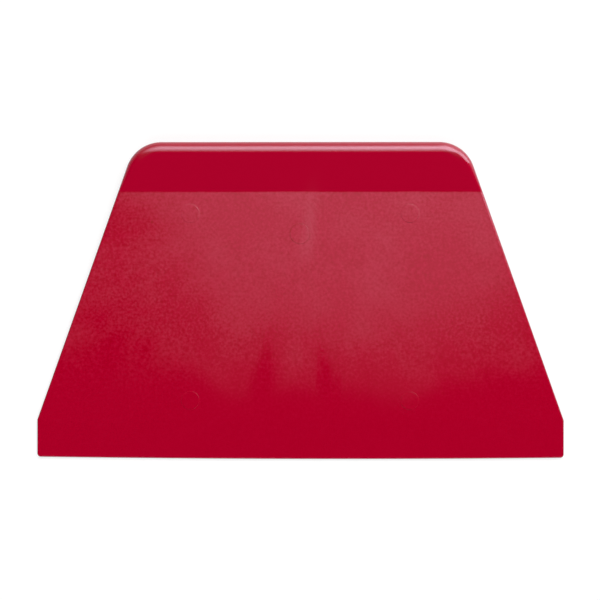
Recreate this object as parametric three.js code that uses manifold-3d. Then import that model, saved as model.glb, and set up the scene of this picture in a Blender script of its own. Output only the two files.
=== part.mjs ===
// A one-piece moulded dough scraper: a trapezoid blade with a bevelled working edge, thickening at
// the top into a rounded grip. Its plan is drawn with x across and y up from the working edge, and
// z is the thickness, shared equally by the front and back. It lies on its back, front face up.

import * as THREE from 'three';
import { LoftGeometry } from 'three/addons/geometries/LoftGeometry.js';
import { mergeVertices } from 'three/addons/utils/BufferGeometryUtils.js';
import Module from 'manifold-3d';

// Plan, in mm.
const height = 130;
const edgeWidth = 216;
const topWidth = 135; // between the lines of the two slanted sides, at the top
const kneeHeight = 16; // top of the upright lower sides, and heel of the bevel
const gripDepth = 20.4; // from the top down to the crease where the grip rises out of the blade
const gripCornerRadius = 15;
const edgeCornerRadius = 1.5;
const edgeCrown = 0.7; // how far the middle of the working edge stands below its ends

// Thickness over both faces, from the working edge up, in mm.
const edgeThickness = 1;
const heelThickness = 1.9;
const creaseThickness = 2.5;
const gripThickness = 8;
const rimLand = 0.3; // flat that is left along the parting line, all round the rim

// Round mould marks, standing on the front face, in mm.
const ejectorDiameter = 7.5;
const ejectorRise = 0.1;
const ejectorSpread = 90; // between the left and right marks
const ejectorAboveEdge = 24;
const ejectorBelowCrease = 9;
const insertDiameter = 8.2;
const insertRise = 0.08;
const insertBelowCrease = 17.3;

// Fineness of the curves.
const rimSteps = 6;
const cornerSteps = 6;
const gripSteps = 14;
const edgeSteps = 8;
const markSides = 48;

const knee = new THREE.Vector2(edgeWidth / 2, kneeHeight);
const lean = Math.atan2((edgeWidth - topWidth) / 2, height - kneeHeight);
const creaseHeight = height - gripDepth;

// The grip's corner arc is centred one radius in from the top line and from the slanted side.
const cornerHeight = height - gripCornerRadius;
const cornerOffset = (gripCornerRadius + (cornerHeight - knee.y) * Math.sin(lean)) / Math.cos(lean);
const corner = new THREE.Vector2(knee.x - cornerOffset, cornerHeight);
const cornerStart = corner.y + gripCornerRadius * Math.sin(lean);

// Seen from the side, the grip is a straight wedge that runs tangent into a round crest.
const crestRadius = gripThickness / 2;
const crestHeight = height - crestRadius;
const wedgeRun = crestHeight - creaseHeight;
const wedgeReach = Math.hypot(wedgeRun, creaseThickness / 2);
const gripSlope = Math.asin(crestRadius / wedgeReach) - Math.atan2(creaseThickness / 2, wedgeRun);
const crestStart = crestHeight - crestRadius * Math.sin(gripSlope);

// Half the thickness at a height above the working edge, away from the rounded rim.
function halfThickness(y) {
  if (y < kneeHeight) {
    return THREE.MathUtils.mapLinear(y, 0, kneeHeight, edgeThickness, heelThickness) / 2;
  }
  if (y < creaseHeight) {
    return THREE.MathUtils.mapLinear(y, kneeHeight, creaseHeight, heelThickness, creaseThickness) / 2;
  }
  if (y < crestStart) {
    return creaseThickness / 2 + (y - creaseHeight) * Math.tan(gripSlope);
  }
  return Math.sqrt(crestRadius ** 2 - Math.max(0, crestHeight - y) ** 2);
}

// Half the width at a height, of the outline or of a line that runs inset from it.
function halfWidth(y, inset = 0) {
  if (y < edgeCornerRadius) {
    const run = Math.sqrt(edgeCornerRadius ** 2 - (edgeCornerRadius - y) ** 2);
    return knee.x - edgeCornerRadius + run - inset;
  }
  if (y < kneeHeight) {
    return knee.x - inset;
  }
  const radius = gripCornerRadius - inset;
  if (y > corner.y + radius * Math.sin(lean)) {
    return corner.x + Math.sqrt(Math.max(0, radius ** 2 - (y - corner.y) ** 2));
  }
  return knee.x - (inset + (y - knee.y) * Math.sin(lean)) / Math.cos(lean);
}

// How far a point of the plan's right half lies inside the outline.
function depthInside(x, y) {
  if (y < kneeHeight) {
    return Math.min(halfWidth(y) - x, y);
  }
  const fromCorner = new THREE.Vector2(x, y).sub(corner);
  if (fromCorner.angle() > lean && fromCorner.angle() < Math.PI / 2) {
    return gripCornerRadius - fromCorner.length();
  }
  const fromSide = (knee.x - x) * Math.cos(lean) - (y - knee.y) * Math.sin(lean);
  return Math.min(fromSide, height - y);
}

// The front surface of the right half at one height, from the rim to the middle. The rim rolls over
// with a radius that follows the thickness, so its roll narrows from the crest down to the blade.
function frontPoints(y) {
  const rollRadius = halfThickness(y) - rimLand / 2;
  const rollHeight = Math.min(y, height - rollRadius);
  const rollWidth = halfWidth(rollHeight) - halfWidth(rollHeight, rollRadius);
  const across = [];
  for (let i = 0; i <= rimSteps; i += 1) {
    const turn = (i / rimSteps) * (Math.PI / 2);
    across.push(halfWidth(y) - rollWidth * (1 - Math.cos(turn)));
  }
  const flatWidth = across.at(-1);
  for (let i = edgeSteps - 1; i > 0; i -= 1) {
    across.push((flatWidth * i) / edgeSteps);
  }
  return across.map((x) => {
    const depth = THREE.MathUtils.clamp(depthInside(x, y), 0, rollRadius);
    const rise = Math.sqrt(rollRadius ** 2 - (rollRadius - depth) ** 2);
    const crown = edgeCrown * (x / knee.x) ** 2 * Math.max(0, 1 - y / kneeHeight);
    return new THREE.Vector3(x, y + crown, rimLand / 2 + rise);
  });
}

// A whole section: the right half's front, mirrored to the left, and both mirrored to the back.
function section(y) {
  const mirrored = (points, x, z) => points.map((p) => new THREE.Vector3(p.x * x, p.y, p.z * z));
  const right = frontPoints(y);
  const front = [...mirrored(right, -1, 1), ...right.reverse()];
  return [...front, ...mirrored(front, 1, -1).reverse()];
}

// Heights of the sections: close together round the edge's corners and over the crest of the grip.
function sectionHeights() {
  const heights = [];
  for (let i = 0; i <= cornerSteps; i += 1) {
    heights.push(edgeCornerRadius * (1 - Math.cos((i / cornerSteps) * (Math.PI / 2))));
  }
  heights.push(kneeHeight, creaseHeight);
  const roundStart = Math.min(cornerStart, crestStart);
  for (let i = 0; i <= gripSteps; i += 1) {
    heights.push(roundStart + (height - roundStart) * Math.sin((i / gripSteps) * (Math.PI / 2)));
  }
  return heights;
}

const wasm = await Module();
wasm.setup();

function toSolid(geometry) {
  const bare = new THREE.BufferGeometry();
  bare.setAttribute('position', geometry.attributes.position);
  bare.setIndex(geometry.index);
  const merged = mergeVertices(bare);
  return new wasm.Manifold(new wasm.Mesh({
    numProp: 3,
    vertProperties: merged.attributes.position.array,
    triVerts: new Uint32Array(merged.index.array),
  }));
}

function toGeometry(solid) {
  const mesh = solid.getMesh();
  const geometry = new THREE.BufferGeometry();
  geometry.setAttribute('position', new THREE.BufferAttribute(mesh.vertProperties, 3));
  geometry.setIndex(new THREE.BufferAttribute(mesh.triVerts, 1));
  geometry.computeVertexNormals();
  return geometry;
}

// A low round pad with sides that slope at 45 degrees, half of it above the front face.
function markPad(x, y, diameter, rise) {
  const pad = new THREE.CylinderGeometry(diameter / 2 - rise, diameter / 2 + rise, rise * 2, markSides);
  pad.rotateX(Math.PI / 2);
  pad.translate(x, y, halfThickness(y));
  return toSolid(pad);
}

const sections = sectionHeights().map(section);
let moulding = toSolid(new LoftGeometry(sections, { capStart: true, capEnd: true }));
for (const x of [-ejectorSpread / 2, ejectorSpread / 2]) {
  for (const y of [ejectorAboveEdge, creaseHeight - ejectorBelowCrease]) {
    moulding = moulding.add(markPad(x, y, ejectorDiameter, ejectorRise));
  }
}
const insertHeight = creaseHeight - insertBelowCrease;
moulding = moulding.add(markPad(0, insertHeight, insertDiameter, insertRise));

const redPlastic = new THREE.MeshStandardMaterial({ color: 0xab0026, roughness: 0.45, metalness: 0 });
const scraper = new THREE.Mesh(toGeometry(moulding), redPlastic);
scraper.name = 'scraper';

// Lying down, it rests on the crest of the grip and on whichever of the edge and heel touches first.
const tiltOnto = (y) => Math.asin((crestRadius - halfThickness(y)) / (crestHeight - y));
scraper.rotation.x = Math.min(tiltOnto(0), tiltOnto(kneeHeight));

// The origin is under the middle of the plan, on the surface that it lies on.
const bounds = new THREE.Box3().setFromObject(scraper, true);
const doughScraper = new THREE.Group();
doughScraper.add(scraper);
doughScraper.position.y = -(bounds.min.y + bounds.max.y) / 2;
doughScraper.position.z = -bounds.min.z;

export default doughScraper;
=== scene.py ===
# A moulded dough scraper, lying on its back on a pale studio floor and seen from above.

import math

import bpy
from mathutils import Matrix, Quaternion, Vector


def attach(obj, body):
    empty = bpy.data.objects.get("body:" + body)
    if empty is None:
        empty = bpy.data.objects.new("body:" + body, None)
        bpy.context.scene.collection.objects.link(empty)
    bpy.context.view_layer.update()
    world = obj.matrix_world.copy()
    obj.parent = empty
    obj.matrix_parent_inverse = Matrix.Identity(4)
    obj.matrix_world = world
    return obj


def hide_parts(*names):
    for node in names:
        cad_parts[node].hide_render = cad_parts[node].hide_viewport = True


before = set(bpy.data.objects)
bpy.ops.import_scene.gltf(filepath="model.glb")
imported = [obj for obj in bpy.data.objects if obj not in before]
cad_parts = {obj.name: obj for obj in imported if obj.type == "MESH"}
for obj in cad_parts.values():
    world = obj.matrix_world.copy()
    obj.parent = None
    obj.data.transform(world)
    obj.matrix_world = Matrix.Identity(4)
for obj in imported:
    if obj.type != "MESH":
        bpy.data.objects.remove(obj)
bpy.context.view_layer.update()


# Moulding
# The whole scraper is one injection moulding in red plastic: a flat blade with a bevelled working
# edge that thickens at the top into a rounded grip. Its rim rolls over on both faces to the parting
# line of the mould, and five round mould marks are left on the front of the blade.
MM = 0.001


class Rule:
    """A value that a node tree works out, so that the rules of the shape read as formulas."""

    def __init__(self, socket):
        self.socket = socket

    def __add__(self, other):
        return work("ADD", self, other)

    def __radd__(self, other):
        return work("ADD", other, self)

    def __sub__(self, other):
        return work("SUBTRACT", self, other)

    def __rsub__(self, other):
        return work("SUBTRACT", other, self)

    def __mul__(self, other):
        return work("MULTIPLY", self, other)

    def __rmul__(self, other):
        return work("MULTIPLY", other, self)

    def __truediv__(self, other):
        return work("DIVIDE", self, other)

    def __pow__(self, other):
        return work("POWER", self, other)


def feed(socket, value):
    """Gives a node's socket either a worked-out value or a plain one."""
    if isinstance(value, Rule):
        socket.id_data.links.new(value.socket, socket)
    else:
        socket.default_value = value


def add_node(tree, kind, **inputs):
    """Makes a node and feeds its inputs, named as on the node with underscores for spaces."""
    node = tree.nodes.new(kind)
    for name, value in inputs.items():
        feed(node.inputs[name.replace("_", " ")], value)
    return node


def output(node, name=0):
    return Rule(node.outputs[name])


def work(operation, *values):
    tree = next(value.socket.id_data for value in values if isinstance(value, Rule))
    node = tree.nodes.new("ShaderNodeMath")
    node.operation = operation
    for socket, value in zip(node.inputs, values):
        feed(socket, value)
    return output(node)


def least(a, b):
    return work("MINIMUM", a, b)


def most(a, b):
    return work("MAXIMUM", a, b)


def clamped(a):
    return least(most(a, 0), 1)


def root(a):
    return work("SQRT", a)


def when(test, yes, no):
    return no + test * (yes - no)


def split(vector):
    """The x, y and z of a vector."""
    parts = add_node(vector.socket.id_data, "ShaderNodeSeparateXYZ", Vector=vector)
    return [output(parts, axis) for axis in range(3)]


def joined(tree, **parts):
    """A vector made of the parts X, Y and Z, where a part that isn't given is 0."""
    return output(add_node(tree, "ShaderNodeCombineXYZ", **parts))


moulding_tree = bpy.data.node_groups.new("scraper_moulding", "GeometryNodeTree")
moulding_tree.interface.new_socket("Moulding", in_out="OUTPUT", socket_type="NodeSocketGeometry")
size_inputs = moulding_tree.nodes.new("NodeGroupInput")
sizes = {}


def size(name, millimetres):
    """Adds a named size to the moulding's inputs."""
    moulding_tree.interface.new_socket(name, in_out="INPUT", socket_type="NodeSocketFloat")
    sizes[name] = millimetres * MM
    return output(size_inputs, name)


height = size("Height", 130)
edge_width = size("Edge width", 216)
top_width = size("Top width", 135)
knee_height = size("Knee height", 16)
grip_depth = size("Grip depth", 20.4)
grip_corner = size("Grip corner radius", 15)
edge_corner = size("Edge corner radius", 1.5)
edge_crown = size("Edge crown", 0.7)
edge_thickness = size("Edge thickness", 1)
heel_thickness = size("Heel thickness", 1.9)
crease_thickness = size("Crease thickness", 2.5)
grip_thickness = size("Grip thickness", 8)
rim_land = size("Rim land", 0.3)
heel_blend = size("Heel blend", 0.02)
crease_blend = size("Crease blend", 0.1)
ejector_diameter = size("Ejector diameter", 7.5)
ejector_rise = size("Ejector rise", 0.1)
ejector_spread = size("Ejector spread", 90)
ejector_above_edge = size("Ejector above edge", 24)
ejector_below_crease = size("Ejector below crease", 9)
insert_diameter = size("Insert diameter", 8.2)
insert_rise = size("Insert rise", 0.08)
insert_below_crease = size("Insert below crease", 17.3)

knee = edge_width / 2
lean = work("ARCTAN2", (edge_width - top_width) / 2, height - knee_height)
lean_sine = work("SINE", lean)
lean_cosine = work("COSINE", lean)
crease_height = height - grip_depth
corner_y = height - grip_corner
corner_x = knee - (grip_corner + (corner_y - knee_height) * lean_sine) / lean_cosine
corner_start = corner_y + grip_corner * lean_sine
crest_radius = grip_thickness / 2
crest_height = height - crest_radius
wedge_run = crest_height - crease_height
wedge_reach = root(wedge_run**2 + (crease_thickness / 2) ** 2)
crease_angle = work("ARCTAN2", crease_thickness / 2, wedge_run)
wedge_slope = work("ARCSINE", crest_radius / wedge_reach) - crease_angle
crest_start = crest_height - crest_radius * work("SINE", wedge_slope)


def half_thickness(y):
    """Half the thickness at a height above the working edge, away from the rolled rim."""
    bevel = (edge_thickness + (heel_thickness - edge_thickness) * y / knee_height) / 2
    blade_share = (y - knee_height) / (crease_height - knee_height)
    flat = (heel_thickness + (crease_thickness - heel_thickness) * blade_share) / 2
    wedge = crease_thickness / 2 + (y - crease_height) * work("TANGENT", wedge_slope)
    straight = work("SMOOTH_MAX", work("SMOOTH_MIN", bevel, flat, heel_blend), wedge, crease_blend)
    round_top = root(crest_radius**2 - most(crest_height - y, 0) ** 2)
    return when(work("LESS_THAN", y, crest_start), straight, round_top)


def half_width(y, inset):
    """Half the width at a height, along the outline or along a line that runs inset from it."""
    edge_end = knee - edge_corner + root(edge_corner**2 - most(edge_corner - y, 0) ** 2) - inset
    side = knee - (inset + (y - knee_height) * lean_sine) / lean_cosine
    radius = grip_corner - inset
    corner = corner_x + root(radius**2 - (y - corner_y) ** 2)
    return when(work("LESS_THAN", y, corner_y + radius * lean_sine), least(edge_end, side), corner)


def depth_inside(x, y):
    """How far a point of the plan lies inside the outline."""
    from_side = (knee - x) * lean_cosine - (y - knee_height) * lean_sine
    from_corner = grip_corner - root((x - corner_x) ** 2 + (y - corner_y) ** 2)
    above_side = work("GREATER_THAN", (y - corner_y) * lean_cosine, (x - corner_x) * lean_sine)
    in_corner = above_side * work("GREATER_THAN", x, corner_x)
    inside = when(in_corner, from_corner, least(from_side, height - y))
    return least(least(inside, half_width(y, 0) - x), y)


def step(kind, **inputs):
    """One step in the making of the moulding, as what it gives."""
    return output(add_node(moulding_tree, kind, **inputs))


def together(*parts):
    node = moulding_tree.nodes.new("GeometryNodeJoinGeometry")
    for part in parts:
        feed(node.inputs[0], part)
    return output(node)


# Rows of the front sheet, as (count, from, to): close together round the edge, over the heel and
# crease, and over the crest of the grip.
heel_zone = 1.2 * MM
crease_zone = 1 * MM
row_bands = [
    (12, 0, edge_corner),
    (8, edge_corner, knee_height - heel_zone),
    (6, knee_height - heel_zone, knee_height + heel_zone),
    (30, knee_height + heel_zone, crease_height - crease_zone),
    (10, crease_height - crease_zone, crease_height + crease_zone),
    (8, crease_height + crease_zone, corner_start),
    (60, corner_start, height),
]
row_count = sum(count for count, start, end in row_bands)
roll_columns = 20
flat_columns = 64
column_count = 2 * (roll_columns + flat_columns)

sheet = step(
    "GeometryNodeMeshGrid",
    Size_X=float(column_count),
    Size_Y=float(row_count),
    Vertices_X=column_count + 1,
    Vertices_Y=row_count + 1,
)
column, row_from_middle = split(step("GeometryNodeInputPosition"))[:2]
row = row_from_middle + row_count / 2

quarter = math.pi / 2
above_edge = 0
first_row = 0
for count, start, end in row_bands:
    share = clamped((row - first_row) / count)
    if first_row == 0:
        share = 1 - work("COSINE", share * quarter)
    elif end is height:
        share = work("SINE", share * quarter)
    above_edge = (end - start) * share + above_edge
    first_row += count

roll_radius = half_thickness(above_edge) - rim_land / 2
roll_height = least(above_edge, height - roll_radius)
roll_width = half_width(roll_height, 0) - half_width(roll_height, roll_radius)
from_middle = work("ABSOLUTE", column)
roll_turn = least((flat_columns + roll_columns - from_middle) / roll_columns, 1) * quarter
flat_share = least(from_middle / flat_columns, 1)
across = (half_width(above_edge, 0) - roll_width * (1 - work("COSINE", roll_turn))) * flat_share
depth = least(most(depth_inside(across, above_edge), 0), roll_radius)
rise = root(roll_radius**2 - (roll_radius - depth) ** 2)
crown = edge_crown * (across / knee) ** 2 * most(1 - above_edge / knee_height, 0)
surface = joined(
    moulding_tree,
    X=across * work("SIGN", column),
    Y=above_edge + crown,
    Z=rim_land / 2 + rise,
)
front = step("GeometryNodeSetPosition", Geometry=sheet, Position=surface)

# The back is the front's mirror image, and the land along the parting line joins the two. An edge
# of the rim has one face beside it, and any other edge has two.
rim_edges = work("LESS_THAN", step("GeometryNodeInputMeshEdgeNeighbors"), 1.5)
land = moulding_tree.nodes.new("GeometryNodeExtrudeMesh")
land.mode = "EDGES"
feed(land.inputs["Mesh"], front)
feed(land.inputs["Selection"], rim_edges)
feed(land.inputs["Offset"], joined(moulding_tree, Z=rim_land * -1))
mirror_image = step("GeometryNodeTransform", Geometry=front, Scale=(1, 1, -1))
back = step("GeometryNodeFlipFaces", Mesh=mirror_image)
shell = together(back, output(land))
body = step("GeometryNodeMergeByDistance", Geometry=shell, Distance=0.02 * MM)


def mark_pads(points, diameter, mark_rise):
    """Low round pads with sloping sides, standing on the front of the blade."""
    point_y = split(step("GeometryNodeInputPosition"))[1]
    lift = joined(moulding_tree, Z=half_thickness(point_y) - mark_rise)
    raised = step("GeometryNodeSetPosition", Geometry=points, Offset=lift)
    pad = step(
        "GeometryNodeMeshCone",
        Vertices=96,
        Radius_Top=diameter / 2 - mark_rise,
        Radius_Bottom=diameter / 2 + mark_rise,
        Depth=mark_rise * 2,
    )
    return step("GeometryNodeInstanceOnPoints", Points=raised, Instance=pad)


ejector_top = crease_height - ejector_below_crease
ejector_grid = step(
    "GeometryNodeMeshGrid",
    Size_X=ejector_spread,
    Size_Y=ejector_top - ejector_above_edge,
    Vertices_X=2,
    Vertices_Y=2,
)
ejector_middle = joined(moulding_tree, Y=(ejector_top + ejector_above_edge) / 2)
ejector_points = step("GeometryNodeTransform", Geometry=ejector_grid, Translation=ejector_middle)
insert_place = joined(moulding_tree, Y=crease_height - insert_below_crease)
insert_point = step("GeometryNodePoints", Position=insert_place)
pads = together(
    mark_pads(ejector_points, ejector_diameter, ejector_rise),
    mark_pads(insert_point, insert_diameter, insert_rise),
)
solid_pads = step("GeometryNodeRealizeInstances", Geometry=pads)
marked = moulding_tree.nodes.new("GeometryNodeMeshBoolean")
marked.operation = "UNION"
marked.solver = "EXACT"
feed(marked.inputs["Mesh 2"], body)
feed(marked.inputs["Mesh 2"], solid_pads)

# Lying down, it rests on the crest of the grip and on whichever of the edge and heel touches first.
edge_tilt = work("ARCSINE", (crest_radius - edge_thickness / 2) / crest_height)
heel_tilt = work("ARCSINE", (crest_radius - heel_thickness / 2) / (crest_height - knee_height))
rest_turn = joined(moulding_tree, X=least(edge_tilt, heel_tilt))
tilted = step("GeometryNodeTransform", Geometry=output(marked), Rotation=rest_turn)
box = add_node(moulding_tree, "GeometryNodeBoundBox", Geometry=tilted)
low_y, low_z = split(output(box, "Min"))[1:]
high_y = split(output(box, "Max"))[1]
rest_move = joined(moulding_tree, Y=(low_y + high_y) / -2, Z=low_z * -1)
resting = step("GeometryNodeTransform", Geometry=tilted, Translation=rest_move)

# Red plastic: a fine-grained satin blade, and a smoother grip with a duller crest. Places on it are
# measured across from the middle and up from the working edge, as in the moulding.
red_plastic = bpy.data.materials.new("red_plastic")
red_plastic.use_nodes = True
plastic_tree = red_plastic.node_tree
plastic = plastic_tree.nodes["Principled BSDF"]
plastic.inputs["IOR"].default_value = 1.55
plastic.inputs["Specular IOR Level"].default_value = 1
plastic.inputs["Specular Tint"].default_value = (0.9, 0.82, 1, 1)

half_length = 64.965 * MM
place = output(plastic_tree.nodes.new("ShaderNodeTexCoord"), "Object")
plan = output(add_node(plastic_tree, "ShaderNodeMapping", Vector=place, Location=(0, half_length, 0)))
plan_x, plan_y, plan_z = split(plan)

# As it lies, the middle of its thickness rises from the working edge to the grip.
middle_at_edge = 0.5 * MM
middle_slope = 0.0277
front_side = work("GREATER_THAN", plan_z, middle_at_edge + middle_slope * plan_y)


def ramp(value, start, end):
    """Rises smoothly from 0 at start to 1 at end."""
    tree = value.socket.id_data
    node = add_node(tree, "ShaderNodeMapRange", Value=value, From_Min=start, From_Max=end)
    node.interpolation_type = "SMOOTHSTEP"
    return output(node)


def bell(distance, width):
    """Falls from 1 at no distance to nothing at about two widths."""
    return work("EXPONENT", (distance / width) ** 2 * -1)


def noise(spot, scale, detail):
    """Noise from -1 to 1."""
    node = add_node(plastic_tree, "ShaderNodeTexNoise", Vector=spot, Scale=scale, Detail=detail)
    return output(node, "Fac") * 2 - 1


def mottle(spacing, detail, stretch=(1, 1, 1)):
    """Noise with blotches about one spacing apart, in millimetres."""
    spot = output(add_node(plastic_tree, "ShaderNodeMapping", Vector=plan, Scale=stretch))
    return noise(spot, 1 / (spacing * MM), detail)


crease_y = sizes["Height"] - sizes["Grip depth"]
crease_blur = 0.2 * MM
blade = 1 - ramp(plan_y, crease_y - crease_blur, crease_y + crease_blur)
grain_strength = 0.15 + 0.85 * ramp(plan_y, 8 * MM, 60 * MM)
grain = mottle(spacing=1.1, detail=1) * blade * grain_strength
clouds = mottle(spacing=22, detail=1)

# The plastic flowed down from a gate in the middle of the crease. It left wisps that fan out from
# there, long strands lower down, and a pale blush just below the gate.
below_gate = crease_y - plan_y
flow_angle = work("ARCTAN2", plan_x, below_gate) + 0.12 * mottle(spacing=30, detail=2)
flow_reach = root(plan_x**2 + below_gate**2)
wisps_per_radian = 16
wisp_length = 25 * MM
wisp_spot = joined(plastic_tree, X=wisps_per_radian * flow_angle, Y=flow_reach / wisp_length)
wisps = noise(wisp_spot, scale=1, detail=3)
strands = mottle(spacing=5, detail=3, stretch=(1, 0.12, 1))
blush_x = plan_x - 5 * MM + 0.1 * below_gate
blush = bell(blush_x, 3 * MM) * bell(below_gate - 16 * MM, 12 * MM) * (0.8 + wisps)

# The lower blade is glossier, below an uneven line that climbs on both sides. Two tongues of gloss
# rise from it, with a duller streak between them where the flow welded, and a duller patch lies
# low on the left.
tongue_width = (1 + 4.5 * ramp(below_gate, 54 * MM, 86 * MM)) * MM
tongue_drift = below_gate - 70 * MM
tongue_wander = 3 * MM * strands
left_tongue = bell(plan_x + 14 * MM + 0.12 * tongue_drift + tongue_wander, tongue_width)
right_tongue = bell(plan_x - 9.5 * MM - 0.15 * tongue_drift - tongue_wander, tongue_width)
glossy_strands = most(strands, 0) * bell(plan_x, 22 * MM)
tongue_reach = ramp(below_gate, 48 * MM, 78 * MM)
tongues = (left_tongue + right_tongue + glossy_strands) * tongue_reach
left_climb = least(most(plan_x * -0.65 - 20 * MM, 0), 28 * MM)
right_climb = most(plan_x * 0.15 - 7 * MM, 0)
left_sag = 4 * MM * bell(plan_x + 28 * MM, 10 * MM)
right_sag = 6 * MM * bell(plan_x - 40 * MM, 14 * MM)
line_wander = (2.5 * mottle(spacing=12, detail=2) + 3 * grain) * MM
gloss_line = 27 * MM + left_climb + right_climb - left_sag - right_sag + line_wander
lower_gloss = 1 - ramp(plan_y - gloss_line, -8 * MM, 9 * MM)
gloss = most(least(tongues, 1), lower_gloss)
weld_width = (2.2 + 3.5 * ramp(below_gate, 50 * MM, 85 * MM)) * MM
weld_reach = ramp(below_gate, 46 * MM, 68 * MM) * (1 - ramp(below_gate, 62 * MM, 86 * MM))
weld = bell(plan_x + 1.5 * MM, weld_width) * weld_reach * (0.7 + 0.9 * strands)
dull_patch = bell(plan_x + 32 * MM, 12 * MM) * bell(plan_y - 38 * MM, 16 * MM)


def ring(x, y, radius, width):
    """A soft line along a circle, on the front only."""
    return front_side * bell(root(x**2 + y**2) - radius, width)


# The round marks: a thin dark line round the insert, and a painted highlight on the upper right of each
# upper ejector pad, on the side that faces the lamps.
# A dark speck lies in the plastic at the left.
insert_y = crease_y - sizes["Insert below crease"]
insert_line = ring(plan_x, plan_y - insert_y, sizes["Insert diameter"] / 2, 0.3 * MM)
ejector_x = plan_x - sizes["Ejector spread"] / 2 * work("SIGN", plan_x)
ejector_y = plan_y - (crease_y - sizes["Ejector below crease"])
ejector_line = ring(ejector_x, ejector_y, sizes["Ejector diameter"] / 2, 0.4 * MM)
painted_pad_highlight = ejector_line * ramp(ejector_x + ejector_y, -1 * MM, 4 * MM)
speck = ring(plan_x + 60.7 * MM, plan_y - 97.1 * MM, 0, 0.45 * MM)

# The dull crest ends along a line that runs round inside the grip's corners; its red is also painted
# darker there, as painted shade.
corner_middle_x = 56.9 * MM
corner_middle_y = sizes["Height"] - sizes["Grip corner radius"]
past_middle_x = most(work("ABSOLUTE", plan_x) - corner_middle_x, 0)
past_middle_y = most(plan_y - corner_middle_y, 0)
past_middle = root(past_middle_x**2 + past_middle_y**2)
dull_crest_painted_dark = ramp(past_middle, 10 * MM, 11.2 * MM) * ramp(plan_y, 120 * MM, 127 * MM)

grip_roughness = 0.12
blade_roughness = 0.03 + 0.02 * clouds + 0.02 * wisps + 0.03 * dull_patch + 0.09 * (weld - gloss)
roughness = grip_roughness + blade * blade_roughness + 0.03 * grain + 0.2 * dull_crest_painted_dark
feed(plastic.inputs["Roughness"], roughness)

# Relief, in millimetres: grain, slow waves, and a shallow dip near the blade's top left corner.
dip_end = 1 - ramp(plan_y, 94 * MM, 109 * MM)
corner_dip = bell(plan_x + 80 * MM, 18 * MM) * bell(plan_y - 92 * MM, 14 * MM) * dip_end
relief = 0.004 * grain + 0.025 * blade * clouds - 0.25 * corner_dip
bump = add_node(plastic_tree, "ShaderNodeBump", Height=relief, Strength=1, Distance=MM)
feed(plastic.inputs["Normal"], output(bump))


def mixed(share, colour, other):
    """Goes from one colour to another as the share goes from 0 to 1."""
    node = plastic_tree.nodes.new("ShaderNodeMix")
    node.data_type = "RGBA"
    feed(node.inputs["Factor"], share)
    # The node has a socket of the same name for each kind of value, so its colours go by number.
    feed(node.inputs[6], colour)
    feed(node.inputs[7], other)
    return output(node, 2)


dark_red = (0.32, 0, 0.005, 1)
bright_red = (0.495, 0, 0.034, 1)
hazy_red = (0.44, 0.035, 0.06, 1)
# Painted light: the grip's red is painted lighter than the blade's, standing in for the light its wedge
# misses as it tilts away from the lamps, and the crest is painted darker as shade.
shade = blade * (0.12 - 0.03 * clouds) + 0.4 * insert_line + 0.35 * dull_crest_painted_dark + speck
red = mixed(0.62 + 0.5 * grain - shade, dark_red, bright_red)
cloud_reach = blade * ramp(plan_y, 25 * MM, 55 * MM)
pale_clouds = clamped(0.3 + 1.2 * clouds + 0.4 * wisps) * cloud_reach
# The painted highlights on the upper ejector pads go into this paler, hazier red too.
haze = 0.6 * blush + 0.4 * painted_pad_highlight + 0.3 * pale_clouds + 0.27 * grain
feed(plastic.inputs["Base Color"], mixed(haze, red, hazy_red))

smooth = step("GeometryNodeSetShadeSmooth", Geometry=resting)
sharp_edges = work("GREATER_THAN", step("GeometryNodeInputMeshEdgeAngle"), math.radians(35))
shaded = moulding_tree.nodes.new("GeometryNodeSetShadeSmooth")
shaded.domain = "EDGE"
feed(shaded.inputs["Geometry"], smooth)
feed(shaded.inputs["Selection"], sharp_edges)
feed(shaded.inputs["Shade Smooth"], False)
realized = step("GeometryNodeRealizeInstances", Geometry=output(shaded))
finished = step("GeometryNodeSetMaterial", Geometry=realized, Material=red_plastic)
feed(moulding_tree.nodes.new("NodeGroupOutput").inputs[0], finished)

scraper = bpy.data.objects.new("dough_scraper", bpy.data.meshes.new("blank"))
bpy.context.collection.objects.link(scraper)
moulding = scraper.modifiers.new("Moulding", "NODES")
moulding.node_group = moulding_tree
for item in moulding_tree.interface.items_tree:
    if item.in_out == "INPUT":
        moulding[item.identifier] = sizes[item.name]
shape = scraper.evaluated_get(bpy.context.evaluated_depsgraph_get())
scraper_mesh = bpy.data.meshes.new_from_object(shape)
scraper.modifiers.remove(moulding)
scraper.data = scraper_mesh
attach(scraper, "root")
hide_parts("scraper")


# Floor
# A plain studio floor, painted matt white, that the scraper lies on. It keeps the scraper's shadow,
# and further out it runs into the white of the background.
floor_reach = 3.0
floor_corners = [
    (-floor_reach, -floor_reach, 0),
    (floor_reach, -floor_reach, 0),
    (floor_reach, floor_reach, 0),
    (-floor_reach, floor_reach, 0),
]
floor_mesh = bpy.data.meshes.new("floor")
floor_mesh.from_pydata(floor_corners, [], [(0, 1, 2, 3)])
floor = bpy.data.objects.new("floor", floor_mesh)
bpy.context.collection.objects.link(floor)
white_floor = bpy.data.materials.new("white_floor")
white_floor.use_nodes = True
floor_tree = white_floor.node_tree
floor_paint = floor_tree.nodes["Principled BSDF"]
floor_paint.inputs["Roughness"].default_value = 1
floor_paint.inputs["Specular IOR Level"].default_value = 0
floor_paint.inputs["Emission Color"].default_value = (1, 1, 1, 1)
floor_place = output(floor_tree.nodes.new("ShaderNodeTexCoord"), "Object")
from_scraper = floor_tree.nodes.new("ShaderNodeVectorMath")
from_scraper.operation = "LENGTH"
feed(from_scraper.inputs[0], floor_place)
run_out = ramp(output(from_scraper, "Value"), 0.3, 0.9)


def seen(tree, in_reflections):
    """1 for the camera, and the given share in reflections. It gives the scraper no other light."""
    ray = tree.nodes.new("ShaderNodeLightPath")
    reflected = output(ray, "Is Glossy Ray") + output(ray, "Is Transmission Ray")
    return output(ray, "Is Camera Ray") + reflected * in_reflections


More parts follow.
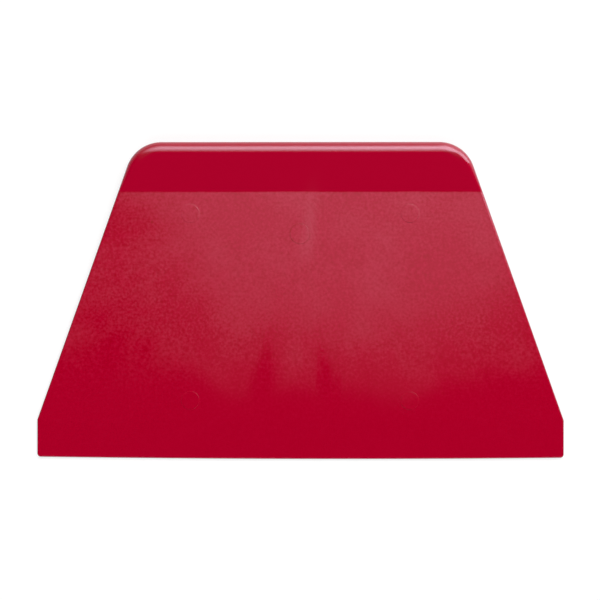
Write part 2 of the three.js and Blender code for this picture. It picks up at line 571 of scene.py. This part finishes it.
# In reflections the floor is white only on the side of the lamps, from a soft line under the scraper.
floor_x, floor_y = split(floor_place)[:2]
line_width = 0.2
lamp_side = clamped((0.6 * floor_x + 0.8 * floor_y) / line_width + 0.5)
floor_paleness = 0.35
floor_glow = 0.66
floor_white = floor_tree.nodes.new("ShaderNodeCombineColor")
for channel in floor_white.inputs[:3]:
    feed(channel, floor_paleness * (1 - run_out))
feed(floor_paint.inputs["Base Color"], output(floor_white))
glow = floor_glow + (1 - floor_glow) * run_out
feed(floor_paint.inputs["Emission Strength"], seen(floor_tree, lamp_side) * glow)
floor_mesh.materials.append(white_floor)


# Light
# Softboxes on stands, about 2.5 m away: a dim round one overhead for the sheen on the blade, four
# behind the grip and at its right for the strip of light on its crest, and one in front that evens
# out the red. In reflections the room is dim, with a white wall behind at the right.
def softbox(name, spot, width, length, brightness, outline="RECTANGLE", turn=0):
    """A lamp turned to the scraper, as bright as a surface of that brightness."""
    lamp = bpy.data.lights.new(name, "AREA")
    lamp.shape = outline
    lamp.size = width
    lamp.size_y = length
    area = width * length * (math.pi / 4 if outline == "ELLIPSE" else 1)
    lamp.energy = brightness * math.pi * area
    holder = bpy.data.objects.new(name, lamp)
    holder.location = spot
    holder.rotation_mode = "QUATERNION"
    facing = (Vector(spot) * -1).to_track_quat("-Z", "Y")
    holder.rotation_quaternion = facing @ Quaternion((0, 0, 1), math.radians(turn))
    holder.visible_camera = False
    bpy.context.collection.objects.link(holder)


softbox("overhead_softbox", (0.11, 0.226, 2.5), 0.98, 0.78, brightness=0.43, outline="ELLIPSE", turn=36)
softbox("broad_softbox", (-0.05, 1.4, 2.07), 0.8, 2.4, brightness=3.2)
softbox("left_softbox", (-0.734, 1.574, 1.798), 0.8, 1.45, brightness=2.4)
softbox("key_softbox", (0.68, 1.79, 1.607), 0.9, 2.2, brightness=5.2)
softbox("side_softbox", (1.67, 1.305, 1.325), 1.3, 2.2, brightness=3.4)
softbox("front_softbox", (0, -1.768, 1.768), 3, 1.4, brightness=2.5)

world = bpy.data.worlds.new("studio")
bpy.context.scene.world = world
world.use_nodes = True
room = world.node_tree
room_x, room_y, room_z = split(output(room.nodes.new("ShaderNodeTexCoord"), "Generated"))
above_walls = ramp(room_z, 0.45, 0.6)
back_wall = ramp(room_y, 0.7, 0.95)
dim_walls = 0.12 + 0.2 * ramp(room_z, 0.2, 0.4) * (1 - back_wall) - above_walls
white_wall = ramp(room_x, 0.1, 0.4) * ramp(room_y, 0.15, 0.4) * (1 - above_walls)
background = room.nodes["Background"]
background.inputs["Color"].default_value = (1, 1, 1, 1)
feed(background.inputs["Strength"], seen(room, most(dim_walls, white_wall)))


# Camera
# A long lens on a stand, looking almost straight down on the blade from about 0.7 m. It stands a
# little to the right of the middle, on the side of the working edge.
lens = bpy.data.cameras.new("overhead")
lens.lens = 100
camera = bpy.data.objects.new("overhead", lens)
camera.location = (0.01046, -0.0177, 0.686)
camera.rotation_euler = [math.radians(angle) for angle in (1.5, 0.875, 0.065)]
bpy.context.collection.objects.link(camera)
bpy.context.scene.camera = camera
bpy.context.scene.view_settings.view_transform = "Standard"
